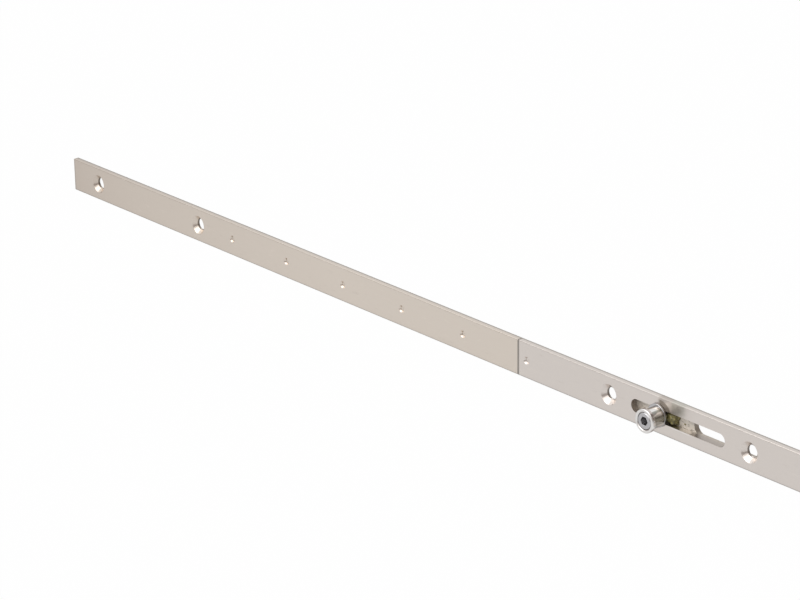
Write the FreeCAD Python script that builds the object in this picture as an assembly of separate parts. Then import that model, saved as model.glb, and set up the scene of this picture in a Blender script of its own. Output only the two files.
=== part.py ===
import FreeCAD, Part
import math
import os

# Multipoint door lock, lying on its side as it is stored.
# X runs down the door, Y into the door leaf, Z across the face strip.
# The origin is the centre of the spindle follower.

Vec = FreeCAD.Vector

# Driving sizes of the face strip, in mm
strip_width = 16.0
strip_thickness = 3.0
strip_edge_round = 0.5
backset = 35.0
upper_reach = 1120.0
lower_reach = 1050.0
upper_extension = 321.0
lower_extension = 251.0
seam_gap = 0.2

# Fixing screws of the strip
fixing_hole = 5.3
fixing_sink = 9.0
fixing_from_end = 20.0
fixing_step = 80.0
fixing_above_roller = 29.0
fixing_below_roller = 49.0
fixing_near_case = 40.0

# Splice of the extensions
rivet_step = 40.0
rivet_past_seam = 5.0
rivet_sink = 3.4
rivet_shank = 2.0
rivet_dimple = 0.9
rivet_head = 4.0
rivet_head_height = 0.8
upper_rivets = 6
lower_rivets = 4
splice_width = 12.0
splice_thickness = 2.5
splice_overhang = 7.0

# Roller cams: the outer two are set out from the seams, the inner two from the follower
roller_past_seam = 83.0
inner_roller_above = 380.0
inner_roller_below = 400.0
slot_width = 5.8
slot_above_roller = 16.0
slot_length = 52.0
throw = 20.0
roller_body = 8.6
roller_flange = 10.2
roller_flange_height = 1.8
roller_front = 8.8
roller_recess = 1.2
roller_edge = 0.4
washer_diameter = 10.0
washer_thickness = 1.0
pin_shank = 5.0
pin_core = 6.0
pin_head = 7.2
pin_offset = 0.75
pin_tail_diameter = 8.0
pin_tail_height = 1.0
pin_key = 3.4
pin_key_depth = 3.0

# Drive rods
rod_width = 12.0
rod_thickness = 2.5
rod_slot_width = 7.0
rod_slot_margin = 10.0
case_slot_width = 5.6
case_slot_margin = 4.0
rod_overrun = 19.0
rod_lower_overrun = 24.0

# Rod guides
guide_length = 24.0
guide_sheet = 1.2
guide_share = 0.285

# Lock case
case_thickness = 15.0
case_sheet = 1.2
case_above = 88.0
case_below = 164.0
case_back = 17.0
case_corner = 4.0
case_screw = 4.0
case_screw_head = 8.4
case_screw_key = 2.5
case_screw_inset = 8.0
case_screw_length = 15.0
screw_key_depth = 1.8
block_inward = 5.0
block_depth = 12.0
pillar_diameter = 7.0
pillar_upper_inset = 14.0
pillar_lower_inset = 8.0
pillar_beside_bolt = 5.0
pillar_from_back = 7.0
cover_screw = 3.0
cover_screw_head = 5.2
cover_screw_head_height = 0.5
cover_screw_slot = 0.8
cover_screw_length = 8.0
handle_hole = 7.0
handle_hole_above = 61.5
handle_hole_below = 153.5

# Follower and latch
spindle = 8.0
follower_hub = 20.0
follower_journal = 16.0
follower_arm = 16.0
follower_tip = 5.0
follower_arm_width = 3.4
follower_turn = 45.0
latch_height = 22.0
latch_centre = 26.0
latch_projection = 12.0
latch_thickness = 8.0
latch_head_back = 9.0
latch_tail_height = 14.0
latch_tail_offset = 1.0
latch_flat = 1.5
latch_base = 1.5
latch_guide_depth = 4.0
lug_thickness = 3.0
lug_reach = 6.8
spring_wire = 0.8
spring_outer = 5.4
spring_pocket = 6.2
spring_pocket_depth = 18.0
spring_peg = 3.2
spring_peg_length = 4.0

# Deadbolt
bolt_height = 30.0
bolt_centre = 44.0
bolt_thickness = 8.0
bolt_recess = 0.3
bolt_tail = 36.0
bolt_pin = 5.0
bolt_pin_back = 4.0
bolt_post = 5.0
bolt_post_side = 8.0
bolt_post_back = 25.0
bolt_edge = 0.8
bolt_guide_depth = 3.0
saddle_wall = 2.85
window_corner = 0.5

# Drive plate, rack and gears
plate_thickness = 2.0
gear_module = 1.5
gear_teeth = 10
gear_pressure = 28.0
gear_addendum = 0.85
gear_dedendum = 1.05
gear_axis_depth = 16.0
gear_axle = 5.0
gear_hub = 9.0
gear_backlash = 0.2
flank_steps = 6
gear_lower_place = 100.0
gear_spacing_pitches = 4
gear_height = 11.0
web_margin = 4.0
tab_length = 12.0
tab_thickness = 1.5
tab_height = 11.2
tab_rivet = 3.0
tab_rivet_head = 5.0
tab_rivet_head_height = 0.9
upper_tab_inset = 26.0
rod_past_cylinder_screw = 6.0

# Profile cylinder opening
cylinder_distance = 92.0
cylinder_radius = 8.6
cylinder_leg_width = 10.2
cylinder_leg_end = 24.7
cylinder_screw_offset = 20.0
cylinder_screw = 5.0
cylinder_screw_head = 8.4
cylinder_screw_key = 3.0
cylinder_screw_end = 7.0

# Clearances
slide_gap = 0.1
side_gap = 0.15
turn_gap = 0.05
fit_gap = 0.02
bolt_gap = 0.2
reach_gap = 0.15
guide_gap = 0.15
head_gap = 0.1
block_gap = 0.3

# Places that follow from the sizes
face = -backset
behind = face + strip_thickness
rod_front = behind + slide_gap
rod_back = rod_front + rod_thickness
half_width = strip_width / 2
half_case = case_thickness / 2
half_inside = half_case - case_sheet
top_end = -upper_reach
upper_seam = top_end + upper_extension
bottom_end = lower_reach
lower_seam = bottom_end - lower_extension
roller_places = (upper_seam + roller_past_seam, -inner_roller_above, inner_roller_below,
                 lower_seam - roller_past_seam)
plate_low = -half_inside + slide_gap
plate_high = plate_low + plate_thickness
gear_radius = gear_module * gear_teeth / 2
tooth_pitch = math.pi * gear_module
rack_line = -gear_axis_depth - gear_radius
gear_upper_place = gear_lower_place - gear_spacing_pitches * tooth_pitch
latch_top = -latch_centre - latch_height / 2
latch_bottom = -latch_centre + latch_height / 2
latch_axis = -latch_centre - latch_tail_offset
lug_front = reach_gap + follower_tip / 2 - follower_arm * math.sin(math.radians(follower_turn / 2))
latch_tail_back = lug_front + lug_thickness
bolt_top = bolt_centre - bolt_height / 2
bolt_bottom = bolt_centre + bolt_height / 2
bolt_pin_x = bolt_centre
bolt_pin_y = -bolt_pin_back
post_x = bolt_centre + bolt_post_side
post_y = -bolt_post_back
upper_case_screw = -case_above + case_screw_inset
lower_case_screw = case_below - case_screw_inset
cylinder_screw_place = cylinder_distance + cylinder_screw_offset
upper_rod_start = case_above - upper_tab_inset
lower_rod_start = cylinder_screw_place + rod_past_cylinder_screw
back_wall = case_back - case_sheet
along_x = Vec(1, 0, 0)
along_y = Vec(0, 1, 0)
along_z = Vec(0, 0, 1)


# Basic solids
def block(x0, x1, y0, y1, z0, z1):
    return Part.makeBox(x1 - x0, y1 - y0, z1 - z0, Vec(x0, y0, z0))


def rod_y(diameter, x, z, y0, y1):
    return Part.makeCylinder(diameter / 2, y1 - y0, Vec(x, y0, z), along_y)


def rod_z(diameter, x, y, z0, z1):
    return Part.makeCylinder(diameter / 2, z1 - z0, Vec(x, y, z0), along_z)


def cone_y(diameter0, diameter1, x, z, y0, y1):
    return Part.makeCone(diameter0 / 2, diameter1 / 2, y1 - y0, Vec(x, y0, z), along_y)


def slot_y(width, x0, x1, y0, y1, z=0.0):
    """Round-ended slot along X that goes through in Y; x0 and x1 are its ends."""
    r = width / 2
    middle = block(x0 + r, x1 - r, y0, y1, z - r, z + r)
    return joined([middle, rod_y(width, x0 + r, z, y0, y1), rod_y(width, x1 - r, z, y0, y1)])


def outline_z(points, z0, z1):
    wire = Part.makePolygon([Vec(x, y, z0) for x, y in points] + [Vec(points[0][0], points[0][1], z0)])
    return Part.Face(wire).extrude(Vec(0, 0, z1 - z0))


def joined(shapes):
    first = shapes[0]
    if len(shapes) == 1:
        return first
    return first.fuse(shapes[1:]).removeSplitter()


def minus(shape, tools):
    return shape.cut(tools).removeSplitter() if tools else shape


def rounded(shape, radius, keep):
    edges = [edge for edge in shape.Edges if keep(edge)]
    return shape.makeFillet(radius, edges) if edges else shape


def group(shapes):
    return Part.makeCompound(shapes)


def runs_along(edge, axis):
    direction = edge.Vertexes[-1].Point - edge.Vertexes[0].Point
    return direction.Length > 0 and abs(direction.dot(axis)) > 0.999 * direction.Length


def sunk_hole(x):
    """Countersunk hole for a strip fixing screw."""
    depth = (fixing_sink - fixing_hole) / 2
    sink = cone_y(fixing_sink, fixing_hole, x, 0, face, face + depth)
    return joined([sink, rod_y(fixing_hole, x, 0, face, behind)])


def machine_screw_hole(x, screw, head):
    depth = (head - screw) / 2
    sink = cone_y(head, screw, x, 0, face, face + depth)
    return joined([sink, rod_y(screw + head_gap, x, 0, face, behind)])


def machine_screw(x, screw, head, key, end):
    """Countersunk screw with a hexagon socket; its head is flush with the strip's face."""
    depth = (head - screw) / 2
    body = joined([cone_y(head - head_gap, screw - fit_gap, x, 0, face, face + depth),
                   rod_y(screw - fit_gap, x, 0, face + depth, end)])
    return minus(body, [hex_socket(x, 0, face, key, screw_key_depth)])


def hex_socket(x, z, y, across, depth):
    corner = across / math.sqrt(3)
    turns = [math.radians(60 * k + 30) for k in range(7)]
    wire = Part.makePolygon([Vec(x + corner * math.cos(a), y, z + corner * math.sin(a)) for a in turns])
    return Part.Face(wire).extrude(Vec(0, depth, 0))


# Face strips
def strip(x0, x1):
    blank = block(x0, x1, face, behind, -half_width, half_width)
    return rounded(blank, strip_edge_round, lambda edge: runs_along(edge, along_x))


def rivet_row(seam, away, count):
    """Rivets at a constant step; the last one is just past the seam on the main strip."""
    last = seam - away * rivet_past_seam
    return [last + away * rivet_step * k for k in range(count)]


def rivet_hole(x):
    return joined([cone_y(rivet_sink, rivet_shank, x, 0, face, face + rivet_dimple),
                   rod_y(rivet_shank + fit_gap, x, 0, face, behind)])


def roller_slot(place):
    return slot_y(slot_width, place - slot_above_roller, place - slot_above_roller + slot_length,
                  face, behind)


def main_fixings():
    places = []
    for place in roller_places:
        places += [place - fixing_above_roller, place + fixing_below_roller]
    return places + [-case_above - fixing_near_case, case_below + fixing_near_case]


def extension_fixings(end, inward):
    return [end + inward * (fixing_from_end + fixing_step * k) for k in range(2)]


def faceplate_extension_upper():
    cuts = [sunk_hole(x) for x in extension_fixings(top_end, 1)]
    cuts += [rivet_hole(x) for x in rivet_row(upper_seam, -1, upper_rivets) if x < upper_seam]
    return minus(strip(top_end, upper_seam - seam_gap), cuts)


def faceplate_extension_lower():
    cuts = [sunk_hole(x) for x in extension_fixings(bottom_end, -1)]
    cuts += [rivet_hole(x) for x in rivet_row(lower_seam, 1, lower_rivets) if x > lower_seam]
    return minus(strip(lower_seam + seam_gap, bottom_end), cuts)


def bolt_window(top, bottom, thickness):
    window = block(top - bolt_gap, bottom + bolt_gap, face, behind,
                   -thickness / 2 - bolt_gap, thickness / 2 + bolt_gap)
    return rounded(window, window_corner, lambda edge: runs_along(edge, along_y))


def faceplate_main():
    cuts = [sunk_hole(x) for x in main_fixings()]
    cuts += [roller_slot(place) for place in roller_places]
    cuts += [rivet_hole(upper_seam + rivet_past_seam), rivet_hole(lower_seam - rivet_past_seam)]
    cuts += [machine_screw_hole(x, case_screw, case_screw_head)
             for x in (upper_case_screw, lower_case_screw)]
    cuts.append(machine_screw_hole(cylinder_screw_place, cylinder_screw, cylinder_screw_head))
    cuts += [bolt_window(latch_top, latch_bottom, latch_thickness),
             bolt_window(bolt_top, bolt_bottom, bolt_thickness)]
    return minus(strip(upper_seam, lower_seam), cuts)


def splice_bar(row):
    low = min(row) - splice_overhang
    high = max(row) + splice_overhang
    bar = block(low, high, behind, behind + splice_thickness, -splice_width / 2, splice_width / 2)
    return minus(bar, [rod_y(rivet_shank + fit_gap, x, 0, behind, behind + splice_thickness) for x in row])


def splice_rivets(row):
    back = behind + splice_thickness
    return group([joined([rod_y(rivet_shank, x, 0, face + rivet_dimple, back),
                          rod_y(rivet_head, x, 0, back, back + rivet_head_height)]) for x in row])


# Drive rods
def screw_slot_in_rod(x, width, half):
    """Slot that clears a fixed screw at x over the whole throw, written for the rod at rest."""
    return slot_y(width, x - throw - half, x + half, rod_front, rod_back)


def rod(x0, x1, case_screw_place, rollers, rivets):
    bar = block(x0, x1, rod_front, rod_back, -rod_width / 2, rod_width / 2)
    fixing_half = fixing_hole / 2 + rod_slot_margin - slide_gap
    case_half = case_screw / 2 + case_slot_margin - slide_gap
    cuts = [screw_slot_in_rod(x, rod_slot_width, fixing_half) for x in main_fixings() if x0 + throw < x < x1]
    cuts.append(screw_slot_in_rod(case_screw_place, case_slot_width, case_half))
    cuts += [rod_y(pin_shank + 2 * turn_gap, x - pin_offset, 0, rod_front, rod_back) for x in rollers]
    cuts += [rod_y(tab_rivet + fit_gap, x, 0, rod_front, rod_back) for x in rivets]
    return minus(bar, cuts)


def tab_rivet_places(x0, x1):
    quarter = (x1 - x0) / 4
    return [x0 + quarter, x1 - quarter]


upper_tab = (-upper_rod_start - tab_length, -upper_rod_start)
lower_tab = (lower_rod_start, lower_rod_start + tab_length)


def drive_rod_upper():
    rollers = [x for x in roller_places if x < 0]
    return rod(roller_places[0] - rod_overrun, -upper_rod_start, upper_case_screw, rollers,
               tab_rivet_places(*upper_tab))


def drive_rod_lower():
    rollers = [x for x in roller_places if x > 0]
    return rod(lower_rod_start, roller_places[-1] + rod_lower_overrun, lower_case_screw, rollers,
               tab_rivet_places(*lower_tab))


def guide_places():
    """Two guides on each stretch of rod, between the rollers and between roller and case."""
    places = []
    for low, high in (roller_places[:2], (roller_places[1], -case_above),
                      (case_below, roller_places[2]), roller_places[2:]):
        inward = guide_share * (high - low)
        places += [low + inward, high - inward]
    return places


def rod_guide(x):
    inner = rod_width / 2 + side_gap
    outer = inner + guide_sheet
    web = rod_back + side_gap
    channel = block(x - guide_length / 2, x + guide_length / 2, behind, web + guide_sheet, -outer, outer)
    return channel.cut(block(x - guide_length / 2, x + guide_length / 2, behind, web, -inner, inner))


# Roller cams
def roller_washer(x):
    shank = x - pin_offset
    ring = rod_y(washer_diameter, shank, 0, face - slide_gap - washer_thickness, face - slide_gap)
    return ring.cut(rod_y(pin_shank + 2 * turn_gap, shank, 0, face - slide_gap - washer_thickness,
                          face - slide_gap))


def roller_pin(x):
    """Eccentric: shank and riveted tail share the rod's hole, core and head carry the roller at x."""
    seat = face - slide_gap - washer_thickness
    front = face - roller_front
    end = rod_back + slide_gap
    shank = rod_y(pin_shank, x - pin_offset, 0, seat, end)
    tail = rod_y(pin_tail_diameter, x - pin_offset, 0, end, end + pin_tail_height)
    head_back = front + roller_recess - turn_gap
    core = rod_y(pin_core, x, 0, head_back, seat)
    head = rod_y(pin_head, x, 0, front + slide_gap, head_back)
    pin = joined([shank, tail, core, head])
    return minus(pin, [hex_socket(x, 0, front, pin_key, pin_key_depth)])


def roller(x):
    """Flanged sleeve, open at the front for the pin's head."""
    seat = face - slide_gap - washer_thickness - turn_gap
    front = face - roller_front
    body = rod_y(roller_body, x, 0, front + roller_flange_height, seat)
    flange = rod_y(roller_flange, x, 0, front, front + roller_flange_height)
    flange = flange.makeFillet(roller_edge, [edge for edge in flange.Edges
                                             if abs(edge.BoundBox.YLength) < slide_gap])
    bore = rod_y(pin_core + 2 * turn_gap, x, 0, front, seat)
    recess = rod_y(pin_head + 2 * side_gap, x, 0, front, front + roller_recess)
    return minus(joined([body, flange]), [bore, recess])


# Lock case
pillar_y = case_back - pillar_from_back
pillar_places = (-case_above + pillar_upper_inset, latch_top - pillar_beside_bolt,
                 bolt_top - pillar_beside_bolt, bolt_bottom + pillar_beside_bolt,
                 case_below - pillar_lower_inset)


def cylinder_hole(z0, z1):
    leg_end = cylinder_distance + cylinder_leg_end - cylinder_leg_width / 2
    return joined([rod_z(2 * cylinder_radius, cylinder_distance, 0, z0, z1),
                   block(cylinder_distance, leg_end, -cylinder_leg_width / 2, cylinder_leg_width / 2,
                         z0, z1),
                   rod_z(cylinder_leg_width, leg_end, 0, z0, z1)])


def wall_openings(z0, z1):
    """Openings that both side walls of the case share."""
    return [cylinder_hole(z0, z1),
            rod_z(follower_journal + 2 * turn_gap, 0, 0, z0, z1),
            rod_z(handle_hole, -handle_hole_above, 0, z0, z1),
            rod_z(handle_hole, handle_hole_below, 0, z0, z1),
            rod_z(gear_axle + 2 * fit_gap, gear_upper_place, -gear_axis_depth, z0, z1),
            rod_z(gear_axle + 2 * fit_gap, gear_lower_place, -gear_axis_depth, z0, z1)]


def rounded_at_back(shape, radius):
    return rounded(shape, radius, lambda edge: runs_along(edge, along_z)
                   and edge.BoundBox.YMin > behind + slide_gap)


def case_body():
    """Tray with its open side to +Z, pillars for the cover's screws and a peg for the spring."""
    outer = rounded_at_back(block(-case_above, case_below, behind, case_back, -half_case, half_inside),
                            case_corner)
    hollow = rounded_at_back(block(-case_above + case_sheet, case_below - case_sheet, behind, back_wall,
                                   -half_inside, half_inside), case_corner - case_sheet)
    rod_mouth = block(-case_above, case_below, behind, rod_back + side_gap, -half_inside, half_inside)
    tray = minus(outer, [hollow, rod_mouth] + wall_openings(-half_case, -half_inside))
    posts = []
    for x in pillar_places:
        post = rod_z(pillar_diameter, x, pillar_y, -half_inside - fit_gap, half_inside)
        thread = rod_z(cover_screw, x, pillar_y, half_inside - cover_screw_length, half_inside)
        posts.append(post.cut(thread))
    peg = rod_y(spring_peg, latch_axis, 0, back_wall - spring_peg_length, back_wall + fit_gap)
    return joined([tray, peg] + posts)


def case_cover():
    plate = rounded_at_back(block(-case_above, case_below, behind, case_back, half_inside, half_case),
                            case_corner)
    cuts = wall_openings(half_inside, half_case)
    cuts += [rod_z(cover_screw + 2 * fit_gap, x, pillar_y, half_inside, half_case)
             for x in pillar_places]
    cuts.append(rod_z(bolt_post + fit_gap, post_x, post_y, half_inside, half_case))
    return minus(plate, cuts)


def case_cover_screws():
    """Low slotted heads on the cover; the lock lies on its other side."""
    top = half_case + cover_screw_head_height
    screws = []
    for x in pillar_places:
        head = rod_z(cover_screw_head, x, pillar_y, half_case, top)
        shank = rod_z(cover_screw - fit_gap, x, pillar_y, half_inside - cover_screw_length + slide_gap,
                      half_case)
        key = block(x - cover_screw_slot / 2, x + cover_screw_slot / 2, pillar_y - cover_screw_head,
                    pillar_y + cover_screw_head, top - cover_screw_head_height / 2, top)
        screws.append(minus(joined([head, shank]), [key]))
    return group(screws)


def case_block(screw_x, away):
    """Threaded block just behind the rod; it reaches from wall to wall of the case."""
    near = screw_x - away * block_inward
    far = screw_x + away * (case_screw_inset - case_sheet - block_gap)
    front = rod_back + side_gap
    body = block(min(near, far), max(near, far), front, front + block_depth, -half_inside, half_inside)
    return body.cut(rod_y(case_screw, screw_x, 0, front, front + block_depth))


def case_fixing_screws():
    return group([machine_screw(x, case_screw, case_screw_head, case_screw_key, face + case_screw_length)
                  for x in (upper_case_screw, lower_case_screw)])


# Follower and latch
def follower():
    hub = rod_z(follower_hub, 0, 0, plate_low, -plate_low)
    journal = rod_z(follower_journal, 0, 0, -half_case, half_case)
    rest = math.radians(180 + follower_turn / 2)
    tip = Vec(follower_arm * math.cos(rest), follower_arm * math.sin(rest), 0)
    half_arm = latch_thickness / 2
    nose = rod_z(follower_tip, tip.x, tip.y, -half_arm, half_arm)
    arm = block(-follower_arm, 0, -follower_arm_width / 2, follower_arm_width / 2, -half_arm, half_arm)
    arm.rotate(Vec(0, 0, 0), along_z, follower_turn / 2)
    half_square = spindle / 2 + turn_gap
    square = block(-half_square, half_square, -half_square, half_square, -half_case, half_case)
    return minus(joined([hub, journal, arm, nose]), [square])


def latch():
    """Bevelled head on a tail with a lug that the follower's arm pushes back."""
    half = latch_thickness / 2
    nose = face - latch_projection
    base = face - latch_base
    head_back = face + latch_head_back
    profile = Part.makePolygon([Vec(latch_top, nose, -half), Vec(latch_top, nose, -half + latch_flat),
                                Vec(latch_top, base, half), Vec(latch_top, head_back, half),
                                Vec(latch_top, head_back, -half), Vec(latch_top, nose, -half)])
    head = Part.Face(profile).extrude(Vec(latch_height, 0, 0))
    tail_top = latch_axis - latch_tail_height / 2
    tail_bottom = latch_axis + latch_tail_height / 2
    tail = block(tail_top, tail_bottom, head_back - fit_gap, latch_tail_back, -half, half)
    lug = block(tail_bottom - fit_gap, tail_bottom + lug_reach, lug_front, latch_tail_back, -half, half)
    pocket = rod_y(spring_pocket, latch_axis, 0, latch_tail_back - spring_pocket_depth, latch_tail_back)
    return minus(joined([head, tail, lug]), [pocket])


def latch_spring():
    """Compression spring between the latch pocket and the back wall, drawn as its wound envelope."""
    start = latch_tail_back - spring_pocket_depth
    tube = rod_y(spring_outer, latch_axis, 0, start, back_wall)
    return tube.cut(rod_y(spring_outer - 2 * spring_wire, latch_axis, 0, start, back_wall))


def saddle(top, bottom, thickness, depth):
    """Guide that hangs from the cover and holds a bolt on three sides."""
    side = thickness / 2 + guide_gap
    front = behind + 2 * guide_gap
    outer = block(top - guide_gap - saddle_wall, bottom + guide_gap + saddle_wall, front, front + depth,
                  -thickness / 2, half_inside)
    return outer.cut(block(top - guide_gap, bottom + guide_gap, front, front + depth, -thickness, side))


def latch_guide():
    return saddle(latch_top, latch_bottom, latch_thickness, latch_guide_depth)


# Deadbolt
def deadbolt():
    """Plain bolt with a slot for the guide post and a socket for the pin that moves it."""
    half = bolt_thickness / 2
    front = face + bolt_recess
    body = block(bolt_top, bolt_bottom, front, front + bolt_tail, -half, half)
    body = rounded(body, bolt_edge, lambda edge: edge.BoundBox.YMax < front + slide_gap)
    width = bolt_post + 2 * bolt_gap
    slide = joined([block(post_x - width / 2, post_x + width / 2, post_y, post_y + throw, -half, half),
                    rod_z(width, post_x, post_y, -half, half),
                    rod_z(width, post_x, post_y + throw, -half, half)])
    return minus(body, [slide, rod_z(bolt_pin + fit_gap, bolt_pin_x, bolt_pin_y, -half, 0)])


def deadbolt_pin():
    return rod_z(bolt_pin, bolt_pin_x, bolt_pin_y, plate_low, 0)


def deadbolt_guide():
    return saddle(bolt_top, bolt_bottom, bolt_thickness, bolt_guide_depth)


def deadbolt_guide_post():
    return rod_z(bolt_post, post_x, post_y, -bolt_thickness / 2, half_case)


# Rack and gears
def drive_plate():
    root = rack_line - gear_dedendum * gear_module
    tip = rack_line + gear_addendum * gear_module
    strip_part = block(-upper_rod_start + slide_gap, lower_rod_start - slide_gap,
                       rod_front, root, plate_low, plate_high)
    ends = [block(upper_tab[0], -upper_rod_start + 2 * slide_gap, rod_back, root, plate_low, plate_high),
            block(lower_rod_start - 2 * slide_gap, lower_tab[1], rod_back, root, plate_low, plate_high)]
    tabs = [block(x0, x1, rod_back, rod_back + tab_thickness, plate_low, plate_low + tab_height)
            for x0, x1 in (upper_tab, lower_tab)]
    web = diagonal(bolt_pin_x, bolt_pin_y, bolt_pin + 2 * (web_margin + bolt_gap), plate_low, plate_high)
    body = joined([strip_part, web] + ends + tabs + rack_teeth(root, tip))
    cam_slot = diagonal(bolt_pin_x, bolt_pin_y, bolt_pin + bolt_gap, plate_low, plate_high)
    holes = [rod_y(tab_rivet + fit_gap, place, 0, rod_back, rod_back + tab_thickness)
             for tab in (upper_tab, lower_tab) for place in tab_rivet_places(*tab)]
    return minus(body, [cam_slot] + holes)


def diagonal(x, y, width, z0, z1):
    """Round-ended bar at 45 degrees from the pin's place, one throw long in X and in Y."""
    length = throw * math.sqrt(2)
    bar = block(0, length, -width / 2, width / 2, z0, z1)
    bar = joined([bar, rod_z(width, 0, 0, z0, z1), rod_z(width, length, 0, z0, z1)])
    bar.rotate(Vec(0, 0, 0), along_z, -135)
    bar.translate(Vec(x, y, 0))
    return bar


def rack_teeth(root, tip):
    """Straight-sided teeth that reach every place the gears need over the throw."""
    slope = math.tan(math.radians(gear_pressure))
    half = tooth_pitch / 4
    first = gear_upper_place - throw - 2 * tooth_pitch
    count = int((gear_lower_place + 2 * tooth_pitch - first) / tooth_pitch)
    start = gear_upper_place + tooth_pitch / 2 - tooth_pitch * round(
        (gear_upper_place - first) / tooth_pitch)
    teeth = []
    for k in range(count):
        centre = start + k * tooth_pitch
        wide = half + (rack_line - root) * slope
        narrow = half - (tip - rack_line) * slope
        teeth.append(outline_z([(centre - wide, root - fit_gap), (centre + wide, root - fit_gap),
                                (centre + wide, root), (centre + narrow, tip),
                                (centre - narrow, tip), (centre - wide, root)], plate_low, plate_high))
    return teeth


def flank_angle(radius, base):
    """Half the tooth's angle at a radius, for an involute flank."""
    pressure = math.radians(gear_pressure)
    thickness = tooth_pitch / 2 - gear_backlash
    half = thickness / (2 * gear_radius) + math.tan(pressure) - pressure
    if radius <= base:
        return half
    local = math.acos(base / radius)
    return half - (math.tan(local) - local)


def gear(x):
    base = gear_radius * math.cos(math.radians(gear_pressure))
    root = gear_radius - gear_dedendum * gear_module
    tip = gear_radius + gear_addendum * gear_module
    start = max(base, root)
    radii = [root] + [start + (tip - start) * k / flank_steps for k in range(flank_steps + 1)]
    points = []
    for tooth in range(gear_teeth):
        centre = math.radians(-90 + 360 / gear_teeth * tooth)
        left = [(r, centre - flank_angle(r, base)) for r in radii]
        right = [(r, centre + flank_angle(r, base)) for r in reversed(radii)]
        points += [(x + r * math.cos(a), -gear_axis_depth + r * math.sin(a)) for r, a in left + right]
    wheel = outline_z(points, plate_low, plate_low + gear_height)
    hub = rod_z(gear_hub, x, -gear_axis_depth, plate_low, half_inside - slide_gap)
    bore = rod_z(gear_axle + 2 * turn_gap, x, -gear_axis_depth, plate_low, half_inside)
    return minus(joined([wheel, hub]), [bore])


def gear_axle_at(x):
    return rod_z(gear_axle, x, -gear_axis_depth, -half_case, half_case)


def drive_rivets():
    back = rod_back + tab_thickness
    rivets = []
    for tab in (upper_tab, lower_tab):
        for x in tab_rivet_places(*tab):
            rivets.append(joined([rod_y(tab_rivet, x, 0, rod_front, back),
                                  rod_y(tab_rivet_head, x, 0, back, back + tab_rivet_head_height)]))
    return group(rivets)


def cylinder_fixing_screw():
    return machine_screw(cylinder_screw_place, cylinder_screw, cylinder_screw_head, cylinder_screw_key,
                         -cylinder_screw_end)


# Every piece under its own name
def pieces():
    made = {
        "faceplate_extension_upper": faceplate_extension_upper(),
        "faceplate_main": faceplate_main(),
        "faceplate_extension_lower": faceplate_extension_lower(),
        "splice_bar_upper": splice_bar(rivet_row(upper_seam, -1, upper_rivets)),
        "splice_bar_lower": splice_bar(rivet_row(lower_seam, 1, lower_rivets)),
        "splice_rivets_upper": splice_rivets(rivet_row(upper_seam, -1, upper_rivets)),
        "splice_rivets_lower": splice_rivets(rivet_row(lower_seam, 1, lower_rivets)),
        "drive_rod_upper": drive_rod_upper(),
        "drive_rod_lower": drive_rod_lower(),
        "drive_plate": drive_plate(),
        "drive_rivets": drive_rivets(),
        "case_body": case_body(),
        "case_cover": case_cover(),
        "case_cover_screws": case_cover_screws(),
        "case_block_upper": case_block(upper_case_screw, -1),
        "case_block_lower": case_block(lower_case_screw, 1),
        "case_fixing_screws": case_fixing_screws(),
        "follower": follower(),
        "latch": latch(),
        "latch_spring": latch_spring(),
        "latch_guide": latch_guide(),
        "deadbolt": deadbolt(),
        "deadbolt_pin": deadbolt_pin(),
        "deadbolt_guide": deadbolt_guide(),
        "deadbolt_guide_post": deadbolt_guide_post(),
        "gear_upper": gear(gear_upper_place),
        "gear_lower": gear(gear_lower_place),
        "gear_axle_upper": gear_axle_at(gear_upper_place),
        "gear_axle_lower": gear_axle_at(gear_lower_place),
        "cylinder_screw": cylinder_fixing_screw(),
    }
    for number, x in enumerate(roller_places, 1):
        made["roller_pin_%d" % number] = roller_pin(x)
        made["roller_%d" % number] = roller(x)
        made["roller_washer_%d" % number] = roller_washer(x)
    for number, x in enumerate(guide_places(), 1):
        made["rod_guide_%d" % number] = rod_guide(x)
    return made


os.makedirs("parts", exist_ok=True)
for name, shape in pieces().items():
    solids = shape.Solids
    print(name, "solids", len(solids), "valid", shape.isValid(), "volume", round(shape.Volume, 2))
    shape.exportStep("parts/%s.step" % name)
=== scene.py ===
import functools
import math

import bpy
import bmesh
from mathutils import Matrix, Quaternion, Vector, noise


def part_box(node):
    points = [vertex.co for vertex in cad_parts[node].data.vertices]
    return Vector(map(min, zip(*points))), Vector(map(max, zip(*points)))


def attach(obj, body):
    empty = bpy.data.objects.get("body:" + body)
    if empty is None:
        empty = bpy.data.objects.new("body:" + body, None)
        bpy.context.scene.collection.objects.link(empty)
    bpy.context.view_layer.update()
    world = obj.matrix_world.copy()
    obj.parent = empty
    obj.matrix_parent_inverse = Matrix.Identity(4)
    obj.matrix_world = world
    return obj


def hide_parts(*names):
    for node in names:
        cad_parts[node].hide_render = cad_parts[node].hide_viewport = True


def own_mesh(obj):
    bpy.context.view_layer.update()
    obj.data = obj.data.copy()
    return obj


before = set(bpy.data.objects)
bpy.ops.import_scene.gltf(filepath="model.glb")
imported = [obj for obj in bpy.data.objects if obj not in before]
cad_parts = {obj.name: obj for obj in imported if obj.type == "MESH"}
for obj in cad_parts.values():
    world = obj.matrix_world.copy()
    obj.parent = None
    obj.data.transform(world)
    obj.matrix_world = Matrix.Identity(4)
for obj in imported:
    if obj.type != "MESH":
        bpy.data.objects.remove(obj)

bl_info = {
    "name": "Multipoint door lock",
    "version": (1, 0, 0),
    "blender": (4, 5, 0),
    "location": "View3D > Sidebar > Door lock",
    "description": "Dresses the packed door lock with its finishes, turned parts, screws and stage",
    "category": "Object",
}

MM = 0.001
TURN = 2 * math.pi

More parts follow.
